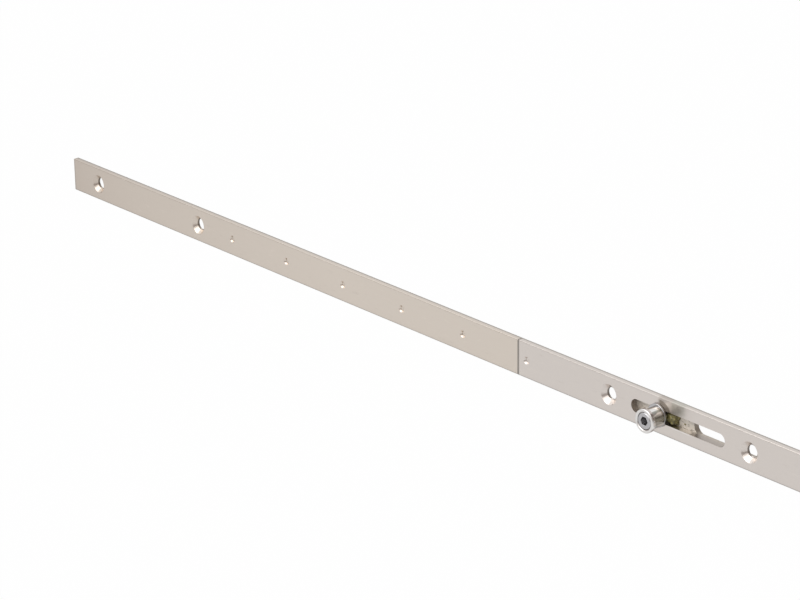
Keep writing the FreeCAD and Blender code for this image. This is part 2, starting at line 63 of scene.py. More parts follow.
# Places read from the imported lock, in metres
MAIN_LOW, MAIN_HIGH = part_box("faceplate_main")
FACE = MAIN_LOW.y
BEHIND = MAIN_HIGH.y
FLOOR = MAIN_LOW.z
HALF_WIDTH = MAIN_HIGH.z
TOP_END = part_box("faceplate_extension_upper")[0].x
UPPER_SEAM = MAIN_LOW.x
LOWER_SEAM = MAIN_HIGH.x
ROD_FRONT, ROD_BACK = [corner.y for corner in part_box("drive_rod_upper")]
ROLLERS = range(1, 5)
GUIDES = range(1, 9)

# How far the painted shade reaches from the strip's upper end, and the turns that lie close at each end of
# the spring
SHADED_END_REACH = 200 * MM
END_TURNS = 1.25

# Bands in mm of painted shade, reflection and highlight: each begins at its first number, is full from the
# second to the third and ends at the fourth. The first three run along the strip from a roller's axis, the
# others across it.
ROLLER_REFLECTION = (6.2, 7.2, 12, 16)
WINDOW = (16.2, 16.8, 38, 40)
SLOT_HIGHLIGHT = (5, 8, 15, 20)
SLOT_EDGE = (-3.7, -3.4, -2.9, -2.7)
# The sleeve bands are painted reflections
SLEEVE_REFLECTION = (-1.7, -1.2, 1.7, 2.3)
SLEEVE_STREAK = (3.1, 3.4, 3.75, 3.95)

# Lumps of grease: place along the rod, place across it, half length, share of the full height, half width;
# all in mm but for the share
LUMPS = ((0, -0.2, 3.1, 1, 2.6), (2.6, 1.3, 1.5, 0.36, 0.9), (1.6, -1.9, 1.6, 0.52, 0.8),
         (8.4, 1.2, 0.7, 0.12, 0.35), (6.2, -1.1, 0.5, 0.12, 0.3))

# Lamps: name, place, the point they shine at, diameter, power
LAMPS = (("key", (-1.6, -2.4, 2.6), (-0.5, 0, 0), 3.2, 34),
         ("fill", (0.6, -2.6, 2.2), (-0.3, 0, 0), 2.0, 12))


def middle(node):
    """Centre of a node's box."""
    low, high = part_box(node)
    return (low + high) / 2


# Sizes and colours that a user would change
def length(label, about, size):
    return bpy.props.FloatProperty(name=label, description=about, default=size, min=0.0, unit="LENGTH",
                                   subtype="DISTANCE", precision=5)


def colour(label, about, tone):
    return bpy.props.FloatVectorProperty(name=label, description=about, default=tone, size=3,
                                         min=0.0, max=1.0, subtype="COLOR")


def share(label, about, value):
    return bpy.props.FloatProperty(name=label, description=about, default=value, min=0.0, max=1.0,
                                   subtype="FACTOR")


def whole(label, about, value, smallest):
    return bpy.props.IntProperty(name=label, description=about, default=value, min=smallest)


def degrees(label, about, value):
    return bpy.props.FloatProperty(name=label, description=about, default=math.radians(value),
                                   unit="ROTATION", subtype="ANGLE")


def spot(label, about, place):
    return bpy.props.FloatVectorProperty(name=label, description=about, default=place, size=3,
                                         unit="LENGTH", subtype="TRANSLATION")


class FinishSettings(bpy.types.PropertyGroup):
    # Painted shade: the colour of the strip's darker, warmer upper end
    strip_shaded_end: colour("Strip, upper end", "Satin steel at the strip's upper end", (0.65, 0.57, 0.50))
    strip_pale: colour("Strip, extension", "Satin steel along the extension", (0.79, 0.71, 0.63))
    strip_cool: colour("Strip, main", "Satin steel of the main strip", (0.785, 0.725, 0.68))
    # Darker lines along the edges and at the end, the back edge's one a painted reflection, and dirt in the
    # seams
    line_tone: colour("Strip lines", "Worn edges and the dirt in the seams", (0.36, 0.33, 0.30))
    # Painted shade in the walls of holes and slots, and the colour of the rod's grit
    shade_and_grit_tone: colour("Strip walls", "Punched walls of the holes and slots", (0.17, 0.14, 0.11))
    # Painted shadow and reflection in a ring round each washer
    washer_shadow_tone: colour("Smear", "Dirt round the washers", (0.38, 0.33, 0.28))
    # Painted reflection of the roller on the strip beside each washer
    roller_reflection_tone: colour("Haze", "Greasy haze beside the washers", (0.46, 0.46, 0.40))
    # Painted highlight along the lower edge of the slots
    slot_highlight_tone: colour("Worn edge", "Bright worn edge of the slots", (1.0, 0.97, 0.93))
    # Painted reflection: the darker zones on the rollers' sleeves
    sleeve_reflection_tone: colour("Film", "Greasy film on the rollers", (0.30, 0.30, 0.26))
    # Painted reflection: brown and dark on the rims of the flanges
    rim_reflection_tone: colour("Rim", "Brown film on the rims of the flanges", (0.42, 0.34, 0.31))
    strip_gloss: share("Strip roughness", "How matt the satin strip is", 0.3)
    rod_tone: colour("Rod", "Zinc plated drive rod under a film of grease", (0.74, 0.68, 0.60))
    turned_tone: colour("Roller", "Turned and polished roller steel", (0.84, 0.82, 0.80))
    pin_tone: colour("Pin", "Turned eccentric pin", (0.60, 0.59, 0.60))
    case_tone: colour("Case", "Galvanised case sheet", (0.58, 0.59, 0.59))
    bolt_tone: colour("Bolts", "Nickel plated latch and deadbolt", (0.70, 0.68, 0.64))
    gear_tone: colour("Gears", "Sintered steel gears and follower", (0.36, 0.36, 0.36))
    screw_tone: colour("Screws", "Bright zinc screws and rivets", (0.62, 0.61, 0.58))
    spring_tone: colour("Spring", "Patented spring wire", (0.34, 0.34, 0.36))
    guide_tone: colour("Bolt guides", "Black moulded bolt guides", (0.025, 0.025, 0.027))
    grease_tone: colour("Grease", "Thick of the olive grease", (0.10, 0.085, 0.03))


class EdgeSettings(bpy.types.PropertyGroup):
    strip_edge: length("Strip hole edge", "Width of the break on the strip's holes and slots", 0.25 * MM)
    sheet_edge: length("Sheet edge", "Width of the break on sheet and machined edges", 0.2 * MM)
    bend_angle: degrees("Sharp angle", "Edges sharper than this are broken", 35)


class RollerSettings(bpy.types.PropertyGroup):
    front: length("Roller front", "Front of the roller before the strip's face", 8.8 * MM)
    flange: length("Flange height", "Height of the roller's flange", 1.8 * MM)
    flange_radius: length("Flange radius", "Radius of the roller's flange", 5.1 * MM)
    body_radius: length("Body radius", "Radius of the roller's body", 4.3 * MM)
    recess: length("Recess", "Depth of the recess for the pin's head", 1.2 * MM)
    recess_radius: length("Recess radius", "Radius of the recess for the pin's head", 3.75 * MM)
    bore_radius: length("Bore radius", "Radius of the roller's bore", 3.05 * MM)
    seat: length("Seat", "Foot of the roller before the strip's face", 1.15 * MM)
    steps: whole("Steps", "Facets round each turned part", 96, 24)


class PinSettings(bpy.types.PropertyGroup):
    head_radius: length("Head radius", "Radius of the pin's head", 3.6 * MM)
    core_radius: length("Core radius", "Radius of the eccentric core", 3.0 * MM)
    shank_radius: length("Shank radius", "Radius of the shank in the rod", 2.5 * MM)
    tail_radius: length("Tail radius", "Radius of the riveted tail", 4.0 * MM)
    tail_height: length("Tail height", "Height of the riveted tail", 1.0 * MM)
    key: length("Hexagon", "Width across the flats of the socket", 3.4 * MM)
    key_depth: length("Hexagon depth", "Depth of the socket's flats", 3.0 * MM)
    washer_radius: length("Washer radius", "Radius of the washer under the roller", 5.0 * MM)
    washer_height: length("Washer height", "Thickness of the washer", 1.0 * MM)
    gap: length("Gap", "Running gap under the washer", 0.1 * MM)


class RivetSettings(bpy.types.PropertyGroup):
    shank: length("Shank radius", "Radius of the splice rivets", 0.99 * MM)
    head: length("Head radius", "Radius of a splice rivet's head", 2.0 * MM)
    head_height: length("Head height", "Height of a splice rivet's head", 0.8 * MM)
    dimple: length("Dimple", "How far the rivet's end lies under the strip's face", 0.9 * MM)
    step: length("Step", "Distance between splice rivets", 40 * MM)


class GuideSettings(bpy.types.PropertyGroup):
    sheet: length("Guide sheet", "Thickness of a rod guide's sheet", 1.2 * MM)
    bend: length("Guide bend", "Radius of a rod guide's bends at mid sheet", 1.1 * MM)


class GreaseSettings(bpy.types.PropertyGroup):
    reach: length("Grease reach", "How far the grease lies beyond the pin along the rod", 5.9 * MM)
    height: length("Grease height", "Height of the thickest lump", 2.5 * MM)
    grain: length("Grease grain", "Size of the lumps on the grease", 1.1 * MM)
    seed: whole("Grease seed", "Draws other lumps of grease", 3, 0)


class SpringSettings(bpy.types.PropertyGroup):
    wire: length("Wire", "Diameter of the spring wire", 0.8 * MM)
    travel: length("Travel", "How far the latch shortens the spring", 12.245 * MM)
    turns: whole("Turns", "Turns of the latch spring", 13, 3)


class StageSettings(bpy.types.PropertyGroup):
    eye: spot("Eye", "Place of the camera", (0.088285, -0.855193, 0.494322))
    aim: spot("Aim", "Point that the camera looks at", (-0.874792, -0.035, 0.003955))
    roll: degrees("Roll", "Turn of the camera about its line of sight", -0.7094)
    lens: bpy.props.FloatProperty(name="Lens", description="Focal length on a 36 mm sensor, in millimetres",
                                  default=140.409, min=1.0)
    floor_size: length("Floor", "Side of the floor", 12.0)
    room: share("Room light", "Light from all round on matt things", 0.55)
    white: share("Floor white", "How far the floor's own white hides its shading", 0.985)
    floor_shine: share("Floor shine", "How bright the floor is in metal", 0.8)
    foot_shade: length("Foot shade", "Reach of the shade at the strip's foot that metal reflects", 2 * MM)
    foot_dark: share("Foot dark", "How dark that shade is", 0.5)
    dark: share("Dark zones", "How dark the room's dark zones are in metal", 0.85)
    dark_tone: colour("Dark tone", "Colour of the room's dark zones", (0.16, 0.12, 0.10))


SETTINGS = {
    "lock_finish": FinishSettings,
    "lock_edges": EdgeSettings,
    "lock_roller": RollerSettings,
    "lock_pin": PinSettings,
    "lock_rivets": RivetSettings,
    "lock_guide": GuideSettings,
    "lock_grease": GreaseSettings,
    "lock_spring": SpringSettings,
    "lock_stage": StageSettings,
}


# Node trees
def joining(operation, swapped=False):
    """A method of Socket that adds one Math node."""
    def join(self, other):
        return self.math(operation, *((other, self) if swapped else (self, other)))
    return join


class Socket:
    """One output of a node, with arithmetic that adds Math nodes."""

    __add__ = joining("ADD")
    __radd__ = joining("ADD", swapped=True)
    __sub__ = joining("SUBTRACT")
    __rsub__ = joining("SUBTRACT", swapped=True)
    __mul__ = joining("MULTIPLY")
    __rmul__ = joining("MULTIPLY", swapped=True)
    __truediv__ = joining("DIVIDE")
    __rtruediv__ = joining("DIVIDE", swapped=True)
    power = joining("POWER")
    least = joining("MINIMUM")
    most = joining("MAXIMUM")

    def __init__(self, recipe, socket):
        self.recipe = recipe
        self.socket = socket

    def math(self, operation, *values):
        return self.recipe.node("ShaderNodeMath", {"operation": operation}, dict(enumerate(values)))

    def size(self):
        return self.math("ABSOLUTE", self)

    def step(self, low, high):
        """0 below low, 1 above high and smooth between; low may be above high."""
        return self.recipe.node("ShaderNodeMapRange", {"interpolation_type": "SMOOTHSTEP"},
                                {"Value": self, "From Min": low, "From Max": high})

    def band(self, start, low, high, end):
        """1 from low to high, 0 outside start and end, all four in mm."""
        return self.step(start * MM, low * MM) * self.step(end * MM, high * MM)


class Recipe:
    """A node tree and the one way to add a node to it."""

    def __init__(self, tree):
        self.tree = tree

    def node(self, kind, settings=None, inputs=None, output=0):
        made = self.tree.nodes.new(kind)
        for name, value in (settings or {}).items():
            setattr(made, name, value)
        self.feed(made, inputs or {})
        return Socket(self, made.outputs[output]) if made.outputs else None

    def feed(self, node, inputs):
        """Links or sets inputs of a node, by name or number."""
        for place, value in inputs.items():
            if isinstance(value, Socket):
                self.tree.links.new(value.socket, node.inputs[place])
            else:
                node.inputs[place].default_value = value

    def parts(self, vector):
        """The X, Y and Z of a vector."""
        outputs = self.node("ShaderNodeSeparateXYZ", None, {0: vector}).socket.node.outputs
        return [Socket(self, outputs[axis]) for axis in range(3)]


class Finish(Recipe):
    """A material with a Principled shader, read on Object coordinates."""

    def __init__(self, name, **constants):
        self.material = bpy.data.materials.new(name)
        self.material.use_nodes = True
        super().__init__(self.material.node_tree)
        self.shader = self.tree.nodes["Principled BSDF"]
        self.here = self.node("ShaderNodeTexCoord", output="Object")
        self.set(**constants)

    def set(self, **inputs):
        self.feed(self.shader, {place.replace("_", " "): value for place, value in inputs.items()})

    def attribute(self, name):
        return self.node("ShaderNodeAttribute", {"attribute_name": name}, output="Fac")

    def noise(self, scale, detail=2.0, roughness=0.5, at=None):
        """Noise from 0 to 1; scale is per metre, along each axis or along all."""
        scale = scale if isinstance(scale, tuple) else (scale,) * 3
        vector = self.node("ShaderNodeMapping", None, {"Vector": at or self.here, "Scale": scale})
        return self.node("ShaderNodeTexNoise", None,
                         {"Vector": vector, "Scale": 1.0, "Detail": detail, "Roughness": roughness})

    def blend(self, factor, first, second):
        return self.node("ShaderNodeMix", {"data_type": "RGBA"},
                         {0: factor, 6: full(first), 7: full(second)}, output=2)

    def shades(self, factor, tone, first, second):
        """A blend of two shades of one tone."""
        return self.blend(factor, times(tone, first), times(tone, second))

    def coat(self, tone, rough, grain, strength, depth):
        """Gives the shader its tone, its roughness and the bumps of a grain; depth is in mm."""
        bumps = self.node("ShaderNodeBump", None,
                          {"Height": grain, "Strength": strength, "Distance": depth * MM})
        self.set(Base_Color=tone, Roughness=rough, Normal=bumps)


def full(tone):
    """A colour with its alpha, or a link as it is."""
    return tone if isinstance(tone, Socket) else (*tone, 1)


def times(tone, factor):
    return tuple(min(1.0, part * factor) for part in tone)


# Finishes
def satin_strip(finish):
    """Satin steel: painted shade makes it darker and warmer towards the upper end; cooler on the main strip,
    brushed and faintly mottled.
    """
    made = Finish("satin_strip", Metallic=1.0)
    x, y, z = made.parts(made.here)
    drift = made.noise((9, 60, 60), detail=3.0) - 0.5
    # Painted shade: the tone grows from the darker upper end to the extension's colour
    reach = ((x - TOP_END) / SHADED_END_REACH).least(1.0)
    ground = made.blend(reach.power(0.55) + drift * 0.2, finish.strip_shaded_end, finish.strip_pale)
    ground = made.blend(x.step(UPPER_SEAM - 0.1 * MM, UPPER_SEAM + 0.1 * MM), ground, finish.strip_cool)
    mottle = made.noise((160, 420, 420), detail=4.0, roughness=0.6)
    brushed = made.noise((60, 2600, 2600), detail=3.0, roughness=0.65)
    shade = (mottle - 0.5) * 0.5 + (brushed - 0.5) * 0.3
    tone = made.blend(shade.step(0.04, 0.3) * 0.5, ground, times(finish.strip_pale, 1.3))
    tone = made.blend(shade.step(-0.04, -0.3) * 0.5, tone, times(finish.strip_shaded_end, 0.7))
    tone = made.blend(strip_lines(x, y, z), tone, finish.line_tone)
    washer_shadow, roller_reflection, window, slot_highlight = roller_marks(x, z)
    # Painted shadow and reflection round each washer
    tone = made.blend(washer_shadow, tone, finish.washer_shadow_tone)
    # Painted reflection of the roller beside each washer
    tone = made.blend(roller_reflection * (0.3 + mottle * 0.4), tone, finish.roller_reflection_tone)
    # Painted highlight on the slot's lower edge
    tone = made.blend(slot_highlight * 0.45, tone, finish.slot_highlight_tone)
    # Painted shade in the end walls and, where the rod's window lies, in the lower walls of holes and slots
    wall = made.attribute("wall")
    wall_shade = (wall.step(0.7, 0.9) * 0.6).most(wall.step(0.1, 0.4) * window * 0.45)
    tone = made.blend(wall_shade, tone, finish.shade_and_grit_tone)
    rough = finish.strip_gloss + (mottle - 0.5) * 0.08 + (brushed - 0.5) * 0.06 + wall_shade.most(washer_shadow) * 0.25
    made.coat(tone, rough, brushed, 0.12, 0.02)


def roller_marks(x, z):
    """Painted shadow round each washer, the painted reflection of the roller beside it, where the rod's
    window lies, and a painted highlight on the slot's lower edge.
    """
    washer_shadow, roller_reflection, window, slot_highlight = [], [], [], []
    upper_half = z.step(-1.0 * MM, 1.0 * MM)
    lower_edge = z.band(*SLOT_EDGE)
    for number in ROLLERS:
        beyond = x - middle("roller_%d" % number).x
        away = (beyond * beyond + z * z).power(0.5)
        # Painted shadow: a ring just outside the washer, fainter further out
        spread = away.step(7.4 * MM, 6.6 * MM).most(away.step(12 * MM, 9.5 * MM) * 0.4)
        washer_shadow.append(spread * beyond.step(-1.5 * MM, 0.5 * MM) * upper_half)
        # Painted reflection of the roller, above and beyond the washer
        roller_reflection.append(beyond.band(*ROLLER_REFLECTION) * z.step(2 * MM, 5 * MM))
        window.append(beyond.band(*WINDOW))
        # Painted highlight along the slot's lower edge near each roller
        slot_highlight.append(lower_edge * beyond.band(*SLOT_HIGHLIGHT))
    return [functools.reduce(Socket.most, marks) for marks in (washer_shadow, roller_reflection, window, slot_highlight)]


def strip_lines(x, y, z):
    """Darker lines along the strip's edges and at its end, the one at the back top edge a painted reflection,
    and dirt in the two seams.
    """
    # Painted reflection: a dark line along the back top edge
    back = y.step(BEHIND - 1.5 * MM, BEHIND - 1.0 * MM) * z.step(HALF_WIDTH - 0.5 * MM, HALF_WIDTH - 0.2 * MM)
    rim = z.size().step(HALF_WIDTH - 0.6 * MM, HALF_WIDTH - 0.2 * MM)
    end = x.step(TOP_END + 1.2 * MM, TOP_END + 0.6 * MM)
    seam = (x - UPPER_SEAM).size().least((x - LOWER_SEAM).size()).step(0.75 * MM, 0.4 * MM)
    return (back * 0.85).most(rim * 0.25).most(end * 0.4).most(seam * 0.8)


def greased_rod(finish):
    """Zinc plate; its front has a film and grit that are thicker here and there."""
    made = Finish("greased_rod", Metallic=0.45)
    film_and_painted_reflection = made.noise((140, 320, 320), detail=3.0).step(0.42, 0.68)
    grain = made.noise((90, 2400, 2400), detail=3.0)
    grit = made.noise((500, 1500, 1500), detail=3.0).step(0.56, 0.66)
    front = made.parts(made.here)[1].step(ROD_FRONT + 0.4 * MM, ROD_FRONT + 0.2 * MM)
    tone = made.blend(film_and_painted_reflection * (0.3 + front * 0.7), finish.rod_tone, times(finish.rod_tone, 0.72))
    tone = made.blend(grain * 0.35, tone, times(finish.rod_tone, 1.25))
    tone = made.blend(grit * front * 0.5, tone, finish.shade_and_grit_tone)
    # Painted shade on the rod's end walls and the lower walls of its windows
    tone = made.blend(made.attribute("wall") * 0.7, tone, times(finish.shade_and_grit_tone, 1.6))
    made.coat(tone, 0.34 + grain * 0.12 - film_and_painted_reflection * 0.08, grain, 0.15, 0.02)


def turned_steel(name, tone, gloss, rings, film_and_painted_reflection=None, rim=None):
    """Turned metal: fine rings that follow the profile, a little uneven in tone, maybe with painted
    reflections and a painted lighter front.
    """
    made = Finish(name, Metallic=1.0, Specular_Tint=(0.55, 0.53, 0.51, 1))
    line = made.node("ShaderNodeCombineXYZ", None, {0: made.attribute("profile")})
    ring = made.noise(rings, at=line)
    mixed = made.shades((ring * 0.7 + made.noise(500) * 0.3).step(0.3, 0.75), tone, 0.88, 1.08)
    # Painted shade inside the hexagon sockets
    mixed = made.blend(made.attribute("wall") * 0.45, mixed, times(tone, 0.5))
    rough = gloss + (ring - 0.5) * 0.1
    if film_and_painted_reflection:
        on_sleeve, on_rim, on_face = roller_painted_light(made)
        # Painted light: the front of the flange is lighter than the rest of the roller
        mixed = made.blend(on_face * 0.7, mixed, times(tone, 1.1))
        # Painted reflections on the sleeve and the flange's rim
        mixed = made.blend(on_sleeve, mixed, film_and_painted_reflection)
        mixed = made.blend(on_rim, mixed, rim)
        rough = rough + on_sleeve * 0.15 + on_face * 0.22
    made.coat(mixed, rough, ring, 0.12, 0.02)


def roller_painted_light(made):
    """Painted reflections: darker round the sleeve's middle and in one streak above it, and browner and
    darker on the flange's rim; also the front of the flange, rougher and painted lighter."""
    y, z = made.parts(made.here)[1:]
    out = FACE - y
    sleeve = out.step(7.1 * MM, 6.9 * MM) * (z.band(*SLEEVE_REFLECTION) * 0.7).most(z.band(*SLEEVE_STREAK) * 0.85)
    upper_rim = out.step(8.5 * MM, 8.3 * MM) * z.step(2.8 * MM, 3.4 * MM)
    lower_rim = out.step(8.75 * MM, 8.6 * MM) * z.step(-1.6 * MM, -2.6 * MM)
    rim = out.step(7.0 * MM, 7.2 * MM) * upper_rim.most(lower_rim)
    return sleeve, rim * 0.6, out.step(8.2 * MM, 8.45 * MM)


def galvanised_sheet(finish):
    """Case sheet with small zinc spangles and roll marks."""
    made = Finish("galvanised_sheet", Metallic=1.0)
    spangle = made.node("ShaderNodeTexVoronoi", None, {"Vector": made.here, "Scale": 420.0}, output="Color")
    tint = made.node("ShaderNodeSeparateColor", None, {0: spangle})
    rolled = made.noise((40, 900, 900), detail=3.0)
    tone = made.shades(tint * 0.6 + rolled * 0.4, finish.case_tone, 0.86, 1.12)
    made.coat(tone, 0.30 + tint * 0.10 + rolled * 0.08, rolled, 0.10, 0.03)


def nickel_plate(finish):
    made = Finish("nickel_plate", Metallic=1.0)
    ground = made.noise((200, 900, 2400), detail=3.0)
    tone = made.shades(made.noise(120), finish.bolt_tone, 0.92, 1.05)
    made.coat(tone, 0.16 + ground * 0.16, ground, 0.08, 0.02)


def sintered_steel(finish):
    made = Finish("sintered_steel", Metallic=0.9)
    grain = made.noise(3200, detail=3.0)
    tone = made.shades(grain * 0.6 + made.noise(180) * 0.4, finish.gear_tone, 0.7, 1.3)
    made.coat(tone, 0.42 + grain * 0.2, grain, 0.25, 0.03)


def zinc_screw(finish):
    made = Finish("zinc_screw", Metallic=1.0)
    cloud = made.noise(900, detail=3.0)
    tone = made.shades(cloud, finish.screw_tone, 0.85, 1.1)
    made.coat(tone, 0.24 + cloud * 0.14, cloud, 0.1, 0.02)


def spring_wire(finish):
    made = Finish("spring_wire", Metallic=1.0)
    drawn = made.noise(700, detail=3.0)
    made.set(Base_Color=made.shades(drawn, finish.spring_tone, 0.7, 1.3), Roughness=0.28 + drawn * 0.14)


def black_guide(finish):
    made = Finish("black_guide")
    grain = made.noise(2600)
    tone = made.shades(grain, finish.guide_tone, 0.7, 1.6)
    made.coat(tone, 0.45 + grain * 0.12, grain, 0.3, 0.03)


def olive_grease(finish):
    """Thick grease: glossy, with darker and yellower clouds on small lumps."""
    made = Finish("olive_grease", IOR=1.48)
    lumps = made.noise(900, detail=3.0)
    tone = made.shades(lumps.step(0.4, 0.75), finish.grease_tone, 1, 3.2)
    made.coat(tone, 0.22 + made.noise(3600) * 0.2, lumps, 0.6, 0.25)


# Meshes and pieces
def settings(name):
    return getattr(bpy.context.scene, name)


def linked(name, data):
    """A new object in the scene."""
    made = bpy.data.objects.new(name, data)
    bpy.context.scene.collection.objects.link(made)
    return made


def coated(mesh, finish):
    """The mesh with one finish."""
    mesh.materials.clear()
    mesh.materials.append(bpy.data.materials[finish])
    return mesh


def dress(finish, *nodes):
    """Nodes that keep their own meshes get a new finish."""
    for node in nodes:
        coated(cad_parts[node].data, finish)


def add_piece(name, mesh, finish, body, replaced=(), smooth=30, wall_shade=None):
    """Links a finished mesh as a piece, smooth up to an angle, and ties it to its body."""
    mesh = coated(settled(mesh, smooth), finish)
    mesh.name = name
    if wall_shade:
        mark_wall_shade(mesh, wall_shade)
    piece = linked(name, mesh)
    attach(piece, body)
    if replaced:
        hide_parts(*replaced)
    return piece


def add_softened(nodes, ending, finish, body="lock", width=None, wall_shade=None):
    """Pieces shaped as their nodes are, but for a narrow break on the sharp edges."""
    for node in nodes:
        mesh = softened(node, width or settings("lock_edges").sheet_edge)
        add_piece("%s_%s" % (node, ending), mesh, finish, body, [node], wall_shade=wall_shade)


def modified(mesh, kind, inputs=None, **values):
    """The mesh with one modifier applied; inputs are those of a node group, by identifier."""
    holder = linked("holder", mesh)
    modifier = holder.modifiers.new("holder", kind)
    for name, value in values.items():
        setattr(modifier, name, value)
    for place, value in (inputs or {}).items():
        modifier[place] = value
    bpy.context.view_layer.update()
    depsgraph = bpy.context.evaluated_depsgraph_get()
    made = bpy.data.meshes.new_from_object(holder.evaluated_get(depsgraph), preserve_all_data_layers=True,
                                           depsgraph=depsgraph)
    holder.modifiers.remove(modifier)
    bpy.data.objects.remove(holder)
    return made


def settled(mesh, smooth):
    """The mesh with one material slot and normals that keep its flat faces flat."""
    for face in mesh.polygons:
        face.material_index = 0
    mesh.shade_smooth()
    mesh.set_sharp_from_angle(angle=math.radians(smooth))
    return modified(mesh, "WEIGHTED_NORMAL", mode="FACE_AREA", weight=90, keep_sharp=True)


def mark_wall_shade(mesh, wall_shade):
    """Tells the finish how much painted shade each face gets; the rule gives it for a face."""
    walls = [float(wall_shade(face)) for face in mesh.polygons]
    mesh.attributes.new("wall", "FLOAT", "FACE").data.foreach_set("value", walls)


def wall_shade_rule(face):
    """How much painted shade a face of a strip or rod gets: end walls most, the lower walls of slots half as
    much.
    """
    if abs(face.normal.y) > 0.35:
        return 0
    if face.normal.x > 0.3:
        return 1
    return 0.5 if face.normal.z > 0.3 and abs(face.center.z) < HALF_WIDTH - 2 * MM else 0


def mesh_of(points, faces, profile):
    """A mesh with outward faces that keeps how far along the profile each point lies."""
    mesh = bpy.data.meshes.new("made")
    mesh.from_pydata(points, [], faces)
    mesh.attributes.new("profile", "FLOAT", "POINT").data.foreach_set("value", profile)
    shape = bmesh.new()
    shape.from_mesh(mesh)
    bmesh.ops.recalc_face_normals(shape, faces=shape.faces)
    shape.to_mesh(mesh)
    shape.free()
    return mesh


def joined(meshes):
    """One mesh that holds several closed shells."""
    shape = bmesh.new()
    for mesh in meshes:
        shape.from_mesh(mesh)
        bpy.data.meshes.remove(mesh)
    whole = bpy.data.meshes.new("made")
    shape.to_mesh(whole)
    shape.free()
    return whole


def hexagon(across):
    """Radius of a hexagon at an angle, for a row of a turned shape."""
    sixth = TURN / 6

    def radius(angle):
        return across / 2 / math.cos(angle % sixth - sixth / 2)
    return radius


def turned(rows, x, z, steps, closed=False):
    """Shape turned about an axis along Y. A row is (distance before the face, radius or rule)."""
    points = []
    faces = []
    profile = []
    rings = []
    run = 0.0
    previous = None
    for out, radius in rows:
        flat = radius(0) if callable(radius) else radius
        if previous:
            run += math.dist(previous, (out, flat))
        previous = (out, flat)
        first = len(points)
        if flat == 0:
            points.append((x, FACE - out, z))
            profile.append(run)
            rings.append([first] * steps)
            continue
        for k in range(steps):
            angle = TURN * k / steps
            r = radius(angle) if callable(radius) else radius
            points.append((x + r * math.cos(angle), FACE - out, z + r * math.sin(angle)))
            profile.append(run)
        rings.append(list(range(first, first + steps)))
    pairs = list(zip(rings, rings[1:])) + ([(rings[-1], rings[0])] if closed else [])
    for lower, upper in pairs:
        for k in range(steps):
            after = (k + 1) % steps
            corners = [lower[k], lower[after], upper[after], upper[k]]
            faces.append(list(dict.fromkeys(corners)))
    return mesh_of(points, faces, profile)


def arc(out, radius, size, start, end, steps=5):
    """Rows of a rounded corner about (out, radius), from one angle to another in degrees."""
    rows = []
    for k in range(steps + 1):
        angle = math.radians(start + (end - start) * k / steps)
        rows.append((out + size * math.sin(angle), radius + size * math.cos(angle)))
    return rows


def softened(node, width):
    """A copy of a node's mesh whose sharp edges are broken by a narrow bevel."""
    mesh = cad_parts[node].data.copy()
    shape = bmesh.new()
    shape.from_mesh(mesh)
    bmesh.ops.remove_doubles(shape, verts=shape.verts, dist=0.002 * MM)
    bmesh.ops.dissolve_limit(shape, angle_limit=math.radians(0.5), verts=shape.verts, edges=shape.edges)
    shape.to_mesh(mesh)
    shape.free()
    return modified(mesh, "BEVEL", width=width, segments=2, limit_method="ANGLE",
                    angle_limit=settings("lock_edges").bend_angle, use_clamp_overlap=True)


# Geometry trees
class Growth(Recipe):
    """A Geometry Nodes tree with named inputs and a finish, which makes one real, plain mesh."""

    def __init__(self, name, **sizes):
        super().__init__(bpy.data.node_groups.new(name, "GeometryNodeTree"))
        self.tree.interface.new_socket("Geometry", in_out="OUTPUT", socket_type="NodeSocketGeometry")
        for label, kind in {**sizes, "Finish": "Material"}.items():
            self.tree.interface.new_socket(label, in_out="INPUT", socket_type="NodeSocket" + kind)
        outputs = self.node("NodeGroupInput").socket.node.outputs
        self.given = [Socket(self, outputs[label]) for label in sizes]
        self.finish = Socket(self, outputs["Finish"])

    def place(self, x=0.0, y=0.0, z=0.0):
        return self.node("ShaderNodeCombineXYZ", None, {0: x, 1: y, 2: z})

    def swept(self, path, section):
        return self.node("GeometryNodeCurveToMesh", None,
                         {"Curve": path, "Profile Curve": section, "Fill Caps": True})

    def ending_with(self, geometry):
        real = self.node("GeometryNodeRealizeInstances", None, {0: geometry})
        coat = self.node("GeometryNodeSetMaterial", None, {"Geometry": real, "Material": self.finish})
        self.node("NodeGroupOutput", None, {0: coat})
        return self

    def grow(self, finish, **values):
        """The mesh that the tree makes with these inputs."""
        values["Finish"] = bpy.data.materials[finish]
        inputs = {item.identifier: values[item.name] for item in self.tree.interface.items_tree
                  if item.item_type == "SOCKET" and item.in_out == "INPUT"}
        return modified(bpy.data.meshes.new("grown"), "NODES", inputs, node_group=self.tree)


def row_growth():
    """Copies of one shape at even steps along X."""
    made = Growth("row_of_copies", Shape="Object", Count="Int", Start="Vector", Step="Float")
    shape, count, start, step = made.given
    line = made.node("GeometryNodeMeshLine", {"mode": "OFFSET"},
                     {"Count": count, "Start Location": start, "Offset": made.place(x=step)})
    single = made.node("GeometryNodeObjectInfo", {"transform_space": "ORIGINAL"}, {"Object": shape},
                       output="Geometry")
    return made.ending_with(made.node("GeometryNodeInstanceOnPoints", None,
                                      {"Points": line, "Instance": single}))


